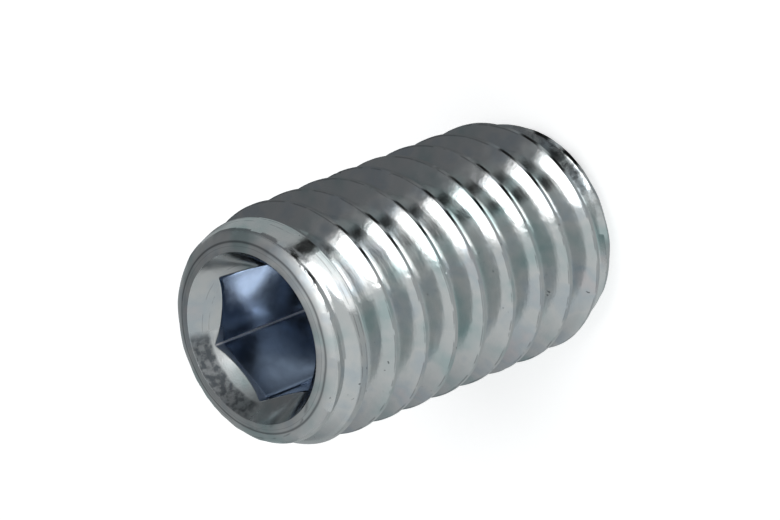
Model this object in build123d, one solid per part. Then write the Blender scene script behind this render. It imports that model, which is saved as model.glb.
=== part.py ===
from build123d import *
import os
from math import cos, radians, sin, sqrt, tan

# Hexagon socket set screw, M6 x 1, 10 mm long, flat point.  Millimetres.
# It stands upright on its flat point with the key socket at the top.

# ---- overall size -------------------------------------------------------------
length = 10.0              # point face to socket end
thread_major_d = 5.82      # over the crests of a 6g rolled thread
pitch = 1.0

# ---- thread form (60 degrees, rounded root) -----------------------------------
flank_angle = 30.0
crest_flat = pitch / 8
root_radius = pitch * sqrt(3) / 12
thread_depth = 0.61343 * pitch
crest_start_angle = 189.0  # direction of the crest at the point face, from +X

# ---- flat point ---------------------------------------------------------------
point_d = 4.0
point_chamfer_step = 0.38  # the chamfer meets the run-in of the thread this far inside the crests
point_chamfer_length = 0.33
run_in_length = 0.84       # thread rising to full height on the point side

# ---- socket end ---------------------------------------------------------------
countersink_d = 4.15
countersink_overlap = 0.12 # the bowl's floor ends this far inside the key flats
countersink_depth = 0.63
countersink_bow = 0.079    # how far the bowl bulges below a straight cone
end_ring_share = 0.42      # part of the rim, countersink to shoulder, that is the flatter end ring
end_ring_drop = 0.045
shoulder_step = 0.325      # the shoulder lies this far inside the crests
shoulder_drop = 0.20
run_out_length = 1.03      # thread reaching full height below the shoulder
groove_end_drop = 0.22     # the thread groove stops this far below the socket end
groove_fade_length = 0.55
groove_core_overlap = 0.05 # the fading core starts this far below the root

# ---- key socket ---------------------------------------------------------------
key_across_flats = 3.0
key_corner_angle = 85.0    # direction of one corner of the hexagon, from +X
key_clearance = 0.04
socket_depth = 3.6         # full depth of the flats below the socket end
drill_angle = 120.0        # cone left by the punch below the flats

crest_r = thread_major_d / 2
root_r = crest_r - thread_depth
shoulder_r = crest_r - shoulder_step
countersink_r = countersink_d / 2


def rod_outline():
    """Cross-section of the threaded rod: one turn of the thread form wrapped round the axis."""
    turn = 360 / pitch
    half_crest = crest_flat / 2
    half_root = root_radius * cos(radians(flank_angle))
    flank_end = pitch / 2 - half_root
    root_top = root_r + root_radius - sqrt(root_radius**2 - half_root**2)

    def at(x, r):
        a = radians(x * turn)
        return Vector(r * cos(a), r * sin(a), 0)

    def flank(side):
        steps = 12
        run = flank_end - half_crest
        fall = crest_r - root_top
        return [at(side * (half_crest + run * i / steps), crest_r - fall * i / steps) for i in range(steps + 1)]

    def root():
        steps = 12
        offsets = [half_root * (2 * i / steps - 1) for i in range(steps + 1)]
        return [at(pitch / 2 + x, root_r + root_radius - sqrt(root_radius**2 - x**2)) for x in offsets]

    crest = Edge.make_three_point_arc(at(-half_crest, crest_r), at(0, crest_r), at(half_crest, crest_r))
    rising = Edge.make_spline(list(reversed(flank(-1))))
    falling = Edge.make_spline(flank(1))
    valley = Edge.make_spline(root())
    return Face(Wire([crest, falling, valley, rising]))


def threaded_rod(below, above):
    """Right-hand threaded rod from z = -below to z = above, with the crest clocked about +Z."""
    section = rod_outline().rotate(Axis.Z, crest_start_angle - 360 * below / pitch)
    rise = below + above
    section = section.moved(Location((0, 0, -below)))
    return Solid.extrude_linear_with_rotation(section, (0, 0, -below), (0, 0, rise), 360 * rise / pitch)


def turned_blank():
    """Turned envelope: flat point, chamfer, run-in, full body, run-out, shoulder and end ring."""
    clear_r = crest_r + 0.5
    point_chamfer_r = crest_r - point_chamfer_step
    end_ring_r = countersink_r + end_ring_share * (shoulder_r - countersink_r)
    run_in_slope = run_in_length / (crest_r - point_chamfer_r)
    run_out_slope = run_out_length / (crest_r - shoulder_r)
    outline = Polyline(
        (0, 0),
        (point_d / 2, 0),
        (point_chamfer_r, point_chamfer_length),
        (clear_r, point_chamfer_length + run_in_slope * (clear_r - point_chamfer_r)),
        (clear_r, length - shoulder_drop - run_out_slope * (clear_r - shoulder_r)),
        (shoulder_r, length - shoulder_drop),
        (end_ring_r, length - end_ring_drop),
        (countersink_r, length),
        (0, length),
        close=True,
    )
    return revolve(Plane.XZ * make_face(outline), Axis.Z)


def groove_end():
    """Core that fills the thread groove next to the socket end, falling away to the root below it."""
    slope = (shoulder_r - root_r) / groove_fade_length
    core_bottom = length - groove_end_drop - groove_fade_length - groove_core_overlap / slope
    outline = Polyline(
        (0, core_bottom),
        (root_r - groove_core_overlap, core_bottom),
        (shoulder_r, length - groove_end_drop),
        (shoulder_r + slope * groove_end_drop, length),
        (0, length),
        close=True,
    )
    return revolve(Plane.XZ * make_face(outline), Axis.Z)


def key_socket():
    """Hexagon with a punched cone at its floor and a bowl-shaped countersink at its mouth."""
    flat_r = (key_across_flats + key_clearance) / 2
    hexagon = RegularPolygon(radius=flat_r, side_count=6, major_radius=False, rotation=key_corner_angle)
    hexagon_cut = extrude(Plane.XY.offset(length - socket_depth) * hexagon, amount=socket_depth + 1)
    floor_drop = flat_r / tan(radians(drill_angle / 2))
    floor_profile = Polyline(
        (0, length - socket_depth - floor_drop),
        (flat_r, length - socket_depth),
        (0, length - socket_depth),
        close=True,
    )
    floor_cut = revolve(Plane.XZ * make_face(floor_profile), Axis.Z)
    mouth_edge = (countersink_r, length)
    mouth_floor = (flat_r - countersink_overlap, length - countersink_depth)
    bowl = SagittaArc(mouth_edge, mouth_floor, countersink_bow)
    above = length + 1
    sides = Polyline(mouth_floor, (0, length - countersink_depth), (0, above), (countersink_r, above), mouth_edge)
    mouth_cut = revolve(Plane.XZ * make_face([bowl, sides]), Axis.Z)
    return hexagon_cut + floor_cut + mouth_cut


def set_screw():
    rod = threaded_rod(pitch, length + pitch)
    blank = turned_blank()
    body = (blank & rod) + (blank & groove_end())
    return body - key_socket()


os.makedirs("parts", exist_ok=True)
export_step(set_screw(), "parts/set_screw.step")
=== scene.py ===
import bmesh
import bpy
import numpy as np
from math import cos, pi, radians, sin, sqrt, tan
from mathutils import Matrix, Vector


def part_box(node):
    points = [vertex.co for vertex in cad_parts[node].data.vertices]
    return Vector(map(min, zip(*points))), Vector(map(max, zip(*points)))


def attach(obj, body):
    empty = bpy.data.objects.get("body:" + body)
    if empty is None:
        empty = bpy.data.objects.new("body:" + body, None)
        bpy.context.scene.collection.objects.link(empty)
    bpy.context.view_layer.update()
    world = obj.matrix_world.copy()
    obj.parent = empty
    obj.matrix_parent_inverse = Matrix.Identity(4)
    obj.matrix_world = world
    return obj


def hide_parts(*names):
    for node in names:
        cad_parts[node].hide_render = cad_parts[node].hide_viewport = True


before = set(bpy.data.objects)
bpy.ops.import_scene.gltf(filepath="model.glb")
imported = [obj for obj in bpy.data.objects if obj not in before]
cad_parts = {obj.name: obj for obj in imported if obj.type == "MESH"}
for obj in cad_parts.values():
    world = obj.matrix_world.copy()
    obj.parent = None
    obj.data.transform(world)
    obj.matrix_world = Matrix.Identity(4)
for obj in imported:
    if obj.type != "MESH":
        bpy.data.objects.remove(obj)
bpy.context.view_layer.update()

# Hexagon socket set screw, bright zinc plated.  Metres, in the frame of the CAD model: it stands on
# its flat point at z = 0, with the key socket at the top and two hexagon corners on +Y and -Y.
MM = 0.001
screw_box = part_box("set_screw")
length = screw_box[1][2] - screw_box[0][2]
crest_r = (screw_box[1][0] - screw_box[0][0]) / 2

# ---- thread -------------------------------------------------------------------
pitch = 1.0 * MM
crest_width = 0.09 * pitch
root_radius = 0.13 * pitch
thread_depth = (pitch - crest_width) / 2 * sqrt(3) - root_radius  # where 60 degree flanks meet that root
root_r = crest_r - thread_depth
crest_start = radians(189.0)          # direction of the crest at the point face
crest_groove = 0.004 * MM             # rolling seam along the crest
crest_round = 0.014 * MM              # rounding of the crest's two edges

end_blend = 0.05 * MM                 # rounding where the thread meets the turned blank
groove_start = (0.10 * MM, 0.95 * MM) # below the socket end: where the groove starts, and is at full depth
groove_stop = (0.05 * MM, 0.90 * MM)  # the same above the point face
crest_waves = 46                      # round one turn
crest_wave_height = 0.0025 * MM
skin_waves = 130
skin_wave_length = 0.35 * MM          # along the axis
skin_wave_height = 0.0010 * MM

# ---- ends ---------------------------------------------------------------------
point_r = 2.0 * MM
point_chamfer_r = 2.53 * MM
point_chamfer = 0.33 * MM
run_in = 0.84 * MM
ring_inner_r = 2.075 * MM
ring_outer_r = 2.29 * MM
ring_drop = 0.045 * MM
shoulder_r = 2.585 * MM
shoulder_drop = 0.20 * MM
run_out = 1.03 * MM

# ---- key socket ---------------------------------------------------------------
flat_distance = 1.52 * MM
corner_direction = radians(85)
socket_depth = 3.6 * MM
bowl_slope = 1.572                    # depth of the countersink at t mm inside its edge:
bowl_curve = 0.948 / MM               # bowl_slope * t - bowl_curve * t * t
drill_half_angle = radians(60)
corner_cut = 0.015 * MM               # the hexagon's corners stop this much short
corner_round = 0.03 * MM
mouth_edge = 0.016 * MM               # rounding between the countersink and the key walls

# ---- mesh density -------------------------------------------------------------
columns = 360                         # round the axis, one on each corner of the hexagon
rows_per_pitch = 20


# ---- studio: directions in degrees from +X ----
dark_side = 40                        # the room's dark side
floor_lift = 0.60                     # brings the lit floor up to white for the camera and in reflections
card_gap = (-98, -42)                 # where the card leaves the white floor showing
card_gap_start = 40 * MM
card_height = 0.05 * MM
card_grey = (0.365, 0.385, 0.39, 1)
card_dark_grey = (0.11, 0.115, 0.12, 1)
card_black = (0.012, 0.012, 0.012, 1)
card_shade_r = 15 * MM                # on the dark side the card is darker inside this radius
card_marks = (-33, -58)               # dark marks on the card
mark_size = 10


def smoothstep(low, high, x):
    t = np.clip((x - low) / (high - low), 0.0, 1.0)
    return t * t * (3 - 2 * t)


def smooth_min(a, b, k):
    h = np.clip(0.5 + 0.5 * (b - a) / k, 0.0, 1.0)
    return b + (a - b) * h - k * h * (1 - h)


def value_noise(x, y, seed, wrap=0):
    """Smooth noise in -1..1 on a grid of whole numbers; wrap closes it round the axis."""
    xi, yi = np.floor(x), np.floor(y)
    fx, fy = x - xi, y - yi
    fx, fy = fx * fx * (3 - 2 * fx), fy * fy * (3 - 2 * fy)

    def corner(dx, dy):
        cx = np.mod(xi + dx, wrap) if wrap else xi + dx
        h = np.sin(cx * 127.1 + (yi + dy) * 311.7 + seed * 74.7) * 43758.5453
        return 2 * (h - np.floor(h)) - 1

    low = corner(0, 0) * (1 - fx) + corner(1, 0) * fx
    high = corner(0, 1) * (1 - fx) + corner(1, 1) * fx
    return low * (1 - fy) + high * fy


def envelope(z):
    """Radius of the turned blank that the thread is rolled on, with both ends."""
    heights = [0, point_chamfer, point_chamfer + run_in, length - shoulder_drop - run_out,
               length - shoulder_drop, length - ring_drop, length]
    radii = [point_r, point_chamfer_r, crest_r, crest_r, shoulder_r, ring_outer_r, ring_inner_r]
    return np.interp(z, heights, radii)


def thread_form(phase):
    """Height above the root, 0..thread_depth, at an axial distance from the crest's middle."""
    x = np.abs((phase + pitch / 2) % pitch - pitch / 2)
    slope = sqrt(3)
    crest_edge = crest_width / 2
    flank = thread_depth - (x - crest_edge) * slope
    top = np.full_like(flank, thread_depth)
    form = smooth_min(flank, top, crest_round)
    from_root = pitch / 2 - x
    arc_end = root_radius * 0.866
    arc = root_radius - np.sqrt(root_radius**2 - np.minimum(from_root, arc_end)**2)
    arc = np.where(from_root < arc_end, arc, -1.0)
    form = np.where(from_root < arc_end, arc, form)
    form -= crest_groove * np.exp(-(x / (0.28 * crest_width))**2)
    return form


def nicks():
    """Places of the dents on the crests: turn height, direction, size along the crest, depth."""
    rng = np.random.default_rng(7)
    places = []
    for n in range(9):
        for _ in range(4):
            direction = rng.uniform(0, 2 * pi)
            places.append((n, direction, rng.uniform(0.02, 0.06) * MM, rng.uniform(0.008, 0.022) * MM))
        for _ in range(3):
            direction = radians(-95 + rng.uniform(-9, 9))
            places.append((n, direction, rng.uniform(0.02, 0.045) * MM, rng.uniform(0.015, 0.035) * MM))
    return places


def thread_radius(z, angle, phase):
    turn_z = z - phase
    env = envelope(z)
    s = length - z
    full = smoothstep(*groove_start, s) * smoothstep(*groove_stop, z)
    root = env + (root_r - env) * full
    form = thread_form(phase) / thread_depth
    thread = root + (crest_r - root) * form
    r = smooth_min(thread, env, end_blend)
    on_crest = np.exp(-(phase / (0.16 * MM))**2)
    for n, direction, size, depth in nicks():
        centre_z = crest_height(direction) + n * pitch
        around = ((angle - direction + pi) % (2 * pi) - pi) * crest_r
        d2 = (around / size)**2 + ((z - centre_z) / (0.6 * size + 0.03 * MM))**2
        r = r - depth * np.exp(-d2) * on_crest
    turn = angle / (2 * pi)
    wave = value_noise(turn * crest_waves, turn_z / pitch + turn, 3, wrap=crest_waves)
    r = r + crest_wave_height * wave * on_crest
    wave = value_noise(turn * skin_waves, z / skin_wave_length, 5, wrap=skin_waves)
    return r + skin_wave_height * wave * full


def crest_height(angle):
    """Height of the lowest whole crest at a direction from +X."""
    return ((angle - crest_start) / (2 * pi) * pitch) % pitch


def phase_rows():
    """Axial places of the mesh rows over one pitch, closest together at the crest and in the root."""
    t = np.linspace(-0.5, 0.5, rows_per_pitch, endpoint=False)
    return (t - 0.055 * np.sin(4 * pi * t)) * pitch


def build_screw():
    verts = []
    faces = []
    angles = np.arange(columns) * 2 * pi / columns
    rows = phase_rows()
    turns = int(round(length / pitch)) + 3
    total = turns * rows_per_pitch

    # outside: rows follow the helix, and are held at the two end faces
    index = np.arange(total)
    phase = rows[index % rows_per_pitch]
    base = (index // rows_per_pitch - 1) * pitch
    grid_z = np.empty((columns, total))
    grid_r = np.empty((columns, total))
    for c in range(columns):
        lift = (angles[c] - crest_start) / (2 * pi) * pitch
        z = base + phase + lift
        held = np.clip(z, 0.0, length)
        grid_z[c] = held
        grid_r[c] = thread_radius(held, angles[c], phase)
    grid_r = np.where(grid_z <= 0, point_r, grid_r)
    grid_r = np.where(grid_z >= length, ring_inner_r, grid_r)
    for c in range(columns):
        x = grid_r[c] * cos(angles[c])
        y = grid_r[c] * sin(angles[c])
        verts.extend(zip(x, y, grid_z[c]))

    def outer(c, i):
        if c == columns:
            return i + rows_per_pitch if i + rows_per_pitch < total else None
        return c * total + i

    for c in range(columns):
        for i in range(total - 1):
            quad = (outer(c, i), outer(c + 1, i), outer(c + 1, i + 1), outer(c, i + 1))
            if None in quad:
                continue
            low = min(verts[q][2] for q in quad)
            high = max(verts[q][2] for q in quad)
            if high <= 0 or low >= length:
                continue
            faces.append(quad)

    # inside: rings from the end ring's inner edge down the countersink, the hexagon and its floor
    corner = pi / 3
    off_flat = (angles - corner_direction) % corner - corner / 2
    hexagon = flat_distance / np.cos(off_flat)
    hexagon = smooth_min(hexagon, np.full(columns, flat_distance / cos(pi / 6) - corner_cut), corner_round)

    def bowl(r):
        t = ring_inner_r - r
        return length - bowl_slope * t + bowl_curve * t * t

    wall_top = bowl(hexagon)
    floor_z = length - socket_depth
    floor_tip = floor_z - flat_distance / tan(drill_half_angle)
    rings = []
    for t in (0.0, 0.04, 0.12, 0.25, 0.4, 0.55, 0.7, 0.82, 0.92, 0.975):
        r = ring_inner_r + (hexagon - ring_inner_r) * t
        rings.append((r, bowl(r)))
    rings.append((hexagon + 0.003 * MM, wall_top - 0.004 * MM))
    bowl_rings = len(rings)
    rings.append((hexagon, wall_top - mouth_edge))
    for t in (0.03, 0.08, 0.15, 0.25, 0.4, 0.6, 0.8, 0.95, 1.0):
        rings.append((hexagon, wall_top + (floor_z - wall_top) * t - mouth_edge * (1 - t)))
    for t in (0.97, 0.8, 0.6, 0.4, 0.2, 0.06):
        rings.append((np.minimum(hexagon, flat_distance) * t, floor_z + (floor_tip - floor_z) * (1 - t)))
    start = len(verts)
    wall_start = start + bowl_rings * columns
    for r, z in rings:
        z = z + np.zeros(columns)
        verts.extend(zip(r * np.cos(angles), r * np.sin(angles), z))
    for k in range(len(rings) - 1):
        for c in range(columns):
            n = (c + 1) % columns
            faces.append((start + k * columns + c, start + k * columns + n,
                          start + (k + 1) * columns + n, start + (k + 1) * columns + c))
    verts.append((0, 0, floor_tip))
    last = start + (len(rings) - 1) * columns
    for c in range(columns):
        faces.append((last + c, last + (c + 1) % columns, len(verts) - 1))

    # point face
    wall_end = len(verts)
    start = len(verts)
    for t in (1.0, 0.97, 0.6):
        verts.extend(zip(point_r * t * np.cos(angles), point_r * t * np.sin(angles), np.zeros(columns)))
    verts.append((0, 0, 0))
    for k in range(2):
        for c in range(columns):
            n = (c + 1) % columns
            faces.append((start + k * columns + n, start + k * columns + c,
                          start + (k + 1) * columns + c, start + (k + 1) * columns + n))
    for c in range(columns):
        faces.append((start + 2 * columns + (c + 1) % columns, start + 2 * columns + c, len(verts) - 1))

    mesh = bpy.data.meshes.new("set_screw_plated")
    mesh.from_pydata([tuple(map(float, v)) for v in verts], [], faces)
    key_wall = np.zeros(len(verts), dtype=np.float32)
    key_wall[wall_start:wall_end] = 1.0
    mesh.attributes.new("key_wall", "FLOAT", "POINT").data.foreach_set("value", key_wall)
    clean(mesh)
    screw = bpy.data.objects.new("set_screw_plated", mesh)
    bpy.context.collection.objects.link(screw)
    return screw


def clean(mesh):
    bm = bmesh.new()
    bm.from_mesh(mesh)
    bmesh.ops.remove_doubles(bm, verts=bm.verts, dist=0.0015 * MM)
    bmesh.ops.dissolve_degenerate(bm, edges=bm.edges, dist=0.0005 * MM)
    loose = [v for v in bm.verts if not v.link_faces]
    bmesh.ops.delete(bm, geom=loose, context="VERTS")
    bmesh.ops.recalc_face_normals(bm, faces=bm.faces)
    bm.to_mesh(mesh)
    bm.free()
    mesh.shade_smooth()
    mesh.set_sharp_from_angle(angle=radians(32))


class Graph:
    """Short names for building one node tree."""

    def __init__(self, tree):
        self.nodes, self.links = tree.nodes, tree.links

    def feed(self, socket, value):
        if isinstance(value, bpy.types.NodeSocket):
            self.links.new(value, socket)
        else:
            socket.default_value = value

    def maths(self, operation, *values):
        node = self.nodes.new("ShaderNodeMath")
        node.operation = operation
        for socket, value in zip(node.inputs, values):
            self.feed(socket, value)
        return node.outputs[0]

    def step(self, value, low, high):
        """0 at low, 1 at high, smooth between; low may be the larger."""
        node = self.nodes.new("ShaderNodeMapRange")
        node.interpolation_type = "SMOOTHSTEP"
        self.feed(node.inputs["Value"], value)
        self.feed(node.inputs["From Min"], low)
        self.feed(node.inputs["From Max"], high)
        return node.outputs["Result"]

    def band(self, value, centre, half_width):
        return self.step(self.maths("ABSOLUTE", self.maths("SUBTRACT", value, centre)), half_width, 0.0)

    def product(self, *values):
        result = values[0]
        for value in values[1:]:
            result = self.maths("MULTIPLY", result, value)
        return result

    def mix(self, factor, a, b):
        node = self.nodes.new("ShaderNodeMix")
        node.data_type = "RGBA"
        first, second = [socket for socket in node.inputs if socket.type == "RGBA"]
        self.feed(node.inputs["Factor"], factor)
        self.feed(first, a)
        self.feed(second, b)
        return [socket for socket in node.outputs if socket.type == "RGBA"][0]

    def noise(self, vector, scale, detail):
        node = self.nodes.new("ShaderNodeTexNoise")
        node.inputs["Scale"].default_value = scale
        node.inputs["Detail"].default_value = detail
        self.links.new(vector, node.inputs["Vector"])
        return node.outputs["Fac"]

    def ramp(self, source, stops):
        node = self.nodes.new("ShaderNodeValToRGB")
        elements = node.color_ramp.elements
        while len(elements) < len(stops):
            elements.new(0.5)
        for element, (position, colour) in zip(elements, stops):
            element.position = position
            element.color = (*colour, 1)
        self.links.new(source, node.inputs["Fac"])
        return node.outputs["Color"]


# colour of the pits, the mottling, the painted shade and the painted dark reflection
dark_mark_and_shade_colour = (0.10, 0.11, 0.12, 1)
# painted shade: darker, bluish colour for the key socket's walls
socket_shade_colour = (0.47, 0.53, 0.62, 1)
corner_highlight_colour = (0.86, 0.84, 0.85, 1)  # painted highlight along one corner of the hexagon
inner_shade_line_r = 2.21 * MM              # fainter line of painted groove shade on the end ring


def zinc():
    mat = bpy.data.materials.new("bright_zinc")
    mat.use_nodes = True
    g = Graph(mat.node_tree)
    shader = g.nodes["Principled BSDF"]
    shader.inputs["Metallic"].default_value = 1.0
    place = g.nodes.new("ShaderNodeTexCoord").outputs["Object"]
    split = g.nodes.new("ShaderNodeSeparateXYZ")
    g.links.new(place, split.inputs[0])
    x, y, z = split.outputs
    angle = g.maths("ARCTAN2", y, x)
    radius = g.maths("SQRT", g.maths("ADD", g.product(x, x), g.product(y, y)))
    drop = g.maths("SUBTRACT", length, z)
    walls = g.nodes.new("ShaderNodeAttribute")
    walls.attribute_name = "key_wall"
    key_wall = walls.outputs["Fac"]

    # where a point lies across the thread: 0 on the crest, 0.5 and -0.5 in the root
    turn = g.maths("MULTIPLY_ADD", z, 1 / pitch, crest_start / (2 * pi))
    turn = g.maths("SUBTRACT", turn, g.product(angle, 0.5 / pi))
    turn = g.maths("MULTIPLY_ADD", g.noise(place, 1.6 / MM, 2), 0.02, turn)
    phase = g.maths("SUBTRACT", g.maths("FRACT", g.maths("ADD", turn, 0.49)), 0.5)

    # dark marks and painted shade: broken lines of painted shade along both crest edges, pits, lines of painted
    # groove shade on the end ring, painted shade over the bowl with a painted dark reflection on a rough patch in it,
    # and darker mottling near the point end
    broken = g.step(g.noise(place, 2.6 / MM, 3), 0.40, 0.56)
    # painted shade: broken dark lines along both edges of each crest
    edges = g.maths("MAXIMUM", g.band(phase, 0.058, 0.016), g.band(phase, -0.058, 0.016))
    pits = g.product(g.step(g.noise(place, 8.5 / MM, 1), 0.73, 0.78), g.step(g.noise(place, 0.9 / MM, 1), 0.48, 0.60))
    at_end = g.step(drop, 0.13 * MM, 0.08 * MM)
    # painted shade of a groove: a dark line just outside the end ring's outer edge, and a fainter one further in
    rings = g.maths("MAXIMUM", g.band(radius, ring_outer_r + 0.02 * MM, 0.045 * MM),
                    g.product(g.band(radius, inner_shade_line_r, 0.010 * MM), 0.5))
    bowl = g.product(g.step(radius, 2.09 * MM, 2.06 * MM), g.step(drop, 0.75 * MM, 0.60 * MM))
    # a rough torn patch in the bowl: its roughness and bumps are real, its darkening is a painted dark reflection
    torn_patch_and_painted_reflection = g.product(g.step(angle, radians(68), radians(80)), g.step(angle, radians(155), radians(138)), bowl)
    painted_dark_reflection = g.product(torn_patch_and_painted_reflection, g.step(radius, 1.72 * MM, 1.82 * MM))
    # darker mottling near the point end, round -62 degrees
    darker_point_end = g.product(g.step(z, 1.15 * MM, 0.7 * MM), g.band(angle, radians(-62), radians(48)))
    coarse = g.step(g.noise(place, 6 / MM, 4), 0.38, 0.62)
    marks_and_painted_shade = g.maths("MAXIMUM", g.product(edges, broken, 0.45), g.product(pits, 0.75))
    # painted shade over the whole countersink, and a painted dark reflection on the torn patch
    marks_and_painted_shade = g.maths("MAXIMUM", marks_and_painted_shade, g.maths("MAXIMUM", g.product(bowl, 0.20), g.product(torn_patch_and_painted_reflection, 0.38)))
    marks_and_painted_shade = g.maths("MAXIMUM", marks_and_painted_shade, g.product(darker_point_end, coarse, 0.70))
    marks_and_painted_shade = g.maths("MAXIMUM", marks_and_painted_shade, g.product(rings, at_end, 0.70))
    # painted dark reflection, mottled and deepest on the torn patch's outer part
    marks_and_painted_shade = g.maths("MAXIMUM", marks_and_painted_shade, g.product(painted_dark_reflection, g.maths("MULTIPLY_ADD", coarse, 0.25, 0.74)))

    tint = g.ramp(g.noise(place, 0.8 / MM, 3), [
        (0.34, (0.54, 0.64, 0.64)), (0.44, (0.67, 0.71, 0.71)), (0.53, (0.74, 0.75, 0.745)),
        (0.63, (0.63, 0.68, 0.71)), (0.74, (0.75, 0.715, 0.72))])
    colour = g.mix(marks_and_painted_shade, tint, dark_mark_and_shade_colour)
    # painted shade: the key socket's walls take the darker, bluish colour
    colour = g.mix(key_wall, colour, socket_shade_colour)
    # painted highlight: a bright, rougher line down one corner of the hexagon's walls
    corner = g.product(g.band(angle, corner_direction, radians(1.3)), key_wall)
    colour = g.mix(corner, colour, corner_highlight_colour)
    g.links.new(colour, shader.inputs["Base Color"])

    rough = g.maths("MULTIPLY_ADD", g.step(g.noise(place, 2.4 / MM, 5), 0.3, 0.7), 0.09, 0.11)
    rough = g.maths("MULTIPLY_ADD", torn_patch_and_painted_reflection, 0.30, rough)
    rough = g.maths("MULTIPLY_ADD", key_wall, 0.03, rough)
    rough = g.maths("MULTIPLY_ADD", corner, 0.40, rough)
    rim = g.product(g.step(radius, 2.06 * MM, 2.09 * MM), g.step(drop, 0.22 * MM, 0.16 * MM))
    rough = g.maths("MULTIPLY_ADD", rim, 0.28, rough)
    g.links.new(rough, shader.inputs["Roughness"])

    along = g.nodes.new("ShaderNodeCombineXYZ")
    g.feed(along.inputs["X"], g.product(angle, 3.0))
    g.feed(along.inputs["Y"], g.product(turn, 24.0))
    streaks = g.product(g.noise(along.outputs[0], 1.0, 2), g.step(radius, 2.2 * MM, 2.4 * MM), 0.5)
    height = g.maths("ADD", g.product(g.noise(place, 12 / MM, 4), 0.6), streaks)
    height = g.product(height, g.maths("SUBTRACT", 1.0, key_wall))
    height = g.maths("ADD", height, g.product(g.noise(place, 22 / MM, 3), torn_patch_and_painted_reflection, 3.0))
    bump = g.nodes.new("ShaderNodeBump")
    bump.inputs["Strength"].default_value = 0.25
    bump.inputs["Distance"].default_value = 0.01 * MM
    g.links.new(height, bump.inputs["Height"])
    g.links.new(bump.outputs["Normal"], shader.inputs["Normal"])
    return mat


def direction(azimuth, elevation):
    a, e = radians(azimuth), radians(elevation)
    return Vector((cos(a) * cos(e), sin(a) * cos(e), sin(e)))


def softbox(name, azimuth, elevation, distance, width, height, radiance):
    """Rectangular light that faces the screw; radiance is its brightness, where 1 is white."""
    data = bpy.data.lights.new(name, "AREA")
    data.shape = "RECTANGLE"
    data.size, data.size_y = width, height
    data.energy = radiance * width * height * pi
    light = bpy.data.objects.new(name, data)
    towards = direction(azimuth, elevation)
    light.location = Vector((0, 0, length / 2)) + towards * distance
    light.rotation_euler = towards.to_track_quat("Z", "Y").to_euler()
    bpy.context.collection.objects.link(light)


def from_dark_side(g, vector):
    """0 for a direction away from the room's dark side, 1 towards it, whatever its elevation."""
    split = g.nodes.new("ShaderNodeSeparateXYZ")
    g.links.new(vector, split.inputs[0])
    azimuth = g.maths("DEGREES", g.maths("ARCTAN2", split.outputs["Y"], split.outputs["X"]))
    turned = g.maths("COSINE", g.maths("RADIANS", g.maths("SUBTRACT", azimuth, dark_side)))
    return azimuth, g.maths("MULTIPLY_ADD", turned, 0.5, 0.5)


def plane(name, inner, outer, height, material, from_angle=0.0, to_angle=2 * pi):
    """Flat ring, or part of one, round the screw's axis."""
    steps = 64
    verts = []
    for k in range(steps + 1):
        a = from_angle + (to_angle - from_angle) * k / steps
        verts.append((inner * cos(a), inner * sin(a), height))
        verts.append((outer * cos(a), outer * sin(a), height))
    faces = [(2 * k, 2 * k + 1, 2 * k + 3, 2 * k + 2) for k in range(steps)]
    mesh = bpy.data.meshes.new(name)
    mesh.from_pydata(verts, [], faces)
    mesh.materials.append(material)
    obj = bpy.data.objects.new(name, mesh)
    bpy.context.collection.objects.link(obj)
    return obj


def floor():
    mat = bpy.data.materials.new("white_floor")
    mat.use_nodes = True
    g = Graph(mat.node_tree)
    shader = g.nodes["Principled BSDF"]
    shader.inputs["Base Color"].default_value = (0.9, 0.9, 0.9, 1)
    shader.inputs["Roughness"].default_value = 0.9
    shader.inputs["Specular IOR Level"].default_value = 0.1
    shader.inputs["Emission Color"].default_value = (1, 1, 1, 1)
    path = g.nodes.new("ShaderNodeLightPath")
    seen = g.maths("MAXIMUM", path.outputs["Is Camera Ray"], path.outputs["Is Glossy Ray"])
    g.links.new(g.product(seen, floor_lift), shader.inputs["Emission Strength"])
    plane("floor", 0.0, 1.5, 0.0, mat)


def grey_card():
    """Photographer's card on the floor round the screw: only the metal's reflections show it."""
    mat = bpy.data.materials.new("grey_card")
    mat.use_nodes = True
    g = Graph(mat.node_tree)
    g.nodes.remove(g.nodes["Principled BSDF"])
    glow = g.nodes.new("ShaderNodeEmission")
    place = g.nodes.new("ShaderNodeTexCoord").outputs["Object"]
    azimuth, toward_dark = from_dark_side(g, place)
    away = g.nodes.new("ShaderNodeVectorMath")
    away.operation = "LENGTH"
    g.links.new(place, away.inputs[0])
    inside = g.step(away.outputs["Value"], 1.2 * card_shade_r, 0.8 * card_shade_r)
    shade = g.product(g.step(toward_dark, 0.55, 0.85), inside)
    grey = g.mix(shade, card_grey, card_dark_grey)
    offs = [g.maths("ABSOLUTE", g.maths("SUBTRACT", azimuth, mark)) for mark in card_marks]
    marks = g.maths("MAXIMUM", *[g.step(off, mark_size, mark_size / 2) for off in offs])
    g.links.new(g.mix(marks, grey, card_black), glow.inputs["Color"])
    g.links.new(glow.outputs["Emission"], g.nodes["Material Output"].inputs["Surface"])
    gap_from, gap_to = radians(card_gap[0]), radians(card_gap[1])
    near = plane("grey_card_near", point_r, card_gap_start, card_height, mat)
    far = plane("grey_card_far", card_gap_start, 1.4, card_height, mat, gap_to, gap_from + 2 * pi)
    for card in (near, far):
        card.visible_camera = False
        card.visible_diffuse = False
        card.visible_shadow = False


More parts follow.
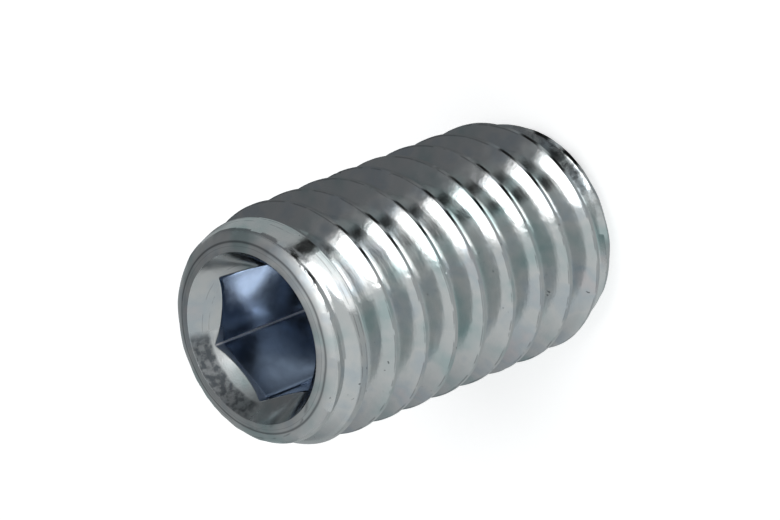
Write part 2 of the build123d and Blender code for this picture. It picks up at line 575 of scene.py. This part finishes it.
def camera():
    """Looks at the screw 47 degrees off its axis, from the socket end, and is rolled about its own axis."""
    off_axis = radians(47.09)
    roll = radians(21.36)
    distance = 162.6 * MM
    sight_right = 3.069 * MM          # the view's centre, from the middle of the socket end's shoulder
    sight_up = 1.762 * MM
    away = Vector((0, 0, -1))
    near = Vector((0, -1, 0))
    side = Vector((-1, 0, 0))
    right = cos(roll) * (sin(off_axis) * away + cos(off_axis) * near) + sin(roll) * side
    down = -sin(roll) * (sin(off_axis) * away + cos(off_axis) * near) + cos(roll) * side
    forward = cos(off_axis) * away - sin(off_axis) * near
    data = bpy.data.cameras.new("camera")
    data.lens = 324.8
    data.sensor_width = 36
    data.clip_start, data.clip_end = 0.01, 10
    cam = bpy.data.objects.new("camera", data)
    place = Vector((0, 0, length - shoulder_drop)) + right * sight_right - down * sight_up - forward * distance
    turn = Matrix((right, -down, -forward)).transposed()
    cam.matrix_world = Matrix.Translation(place) @ turn.to_4x4()
    bpy.context.collection.objects.link(cam)
    bpy.context.scene.camera = cam


def studio():
    softbox("softbox_left", -54, 63, 0.30, 0.155, 0.15, 3.0)
    softbox("softbox_right", -68, 7, 0.30, 0.21, 0.09, 2.6)
    world = bpy.data.worlds.new("studio")
    bpy.context.scene.world = world
    world.use_nodes = True
    g = Graph(world.node_tree)
    place = g.nodes.new("ShaderNodeTexCoord").outputs["Generated"]
    seen = g.nodes.new("ShaderNodeLightPath").outputs["Is Camera Ray"]
    room = g.ramp(from_dark_side(g, place)[1], [
        (0.0, (0.58, 0.605, 0.61)), (0.25, (0.53, 0.55, 0.555)), (0.5, (0.31, 0.325, 0.335)),
        (0.72, (0.17, 0.178, 0.185)), (1.0, (0.125, 0.13, 0.137))])
    g.links.new(g.mix(seen, room, (1, 1, 1, 1)), g.nodes["Background"].inputs["Color"])


screw = build_screw()
screw.data.materials.append(zinc())
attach(screw, "root")
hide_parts("set_screw")
floor()
grey_card()
studio()
camera()
bpy.context.scene.view_settings.view_transform = "Standard"
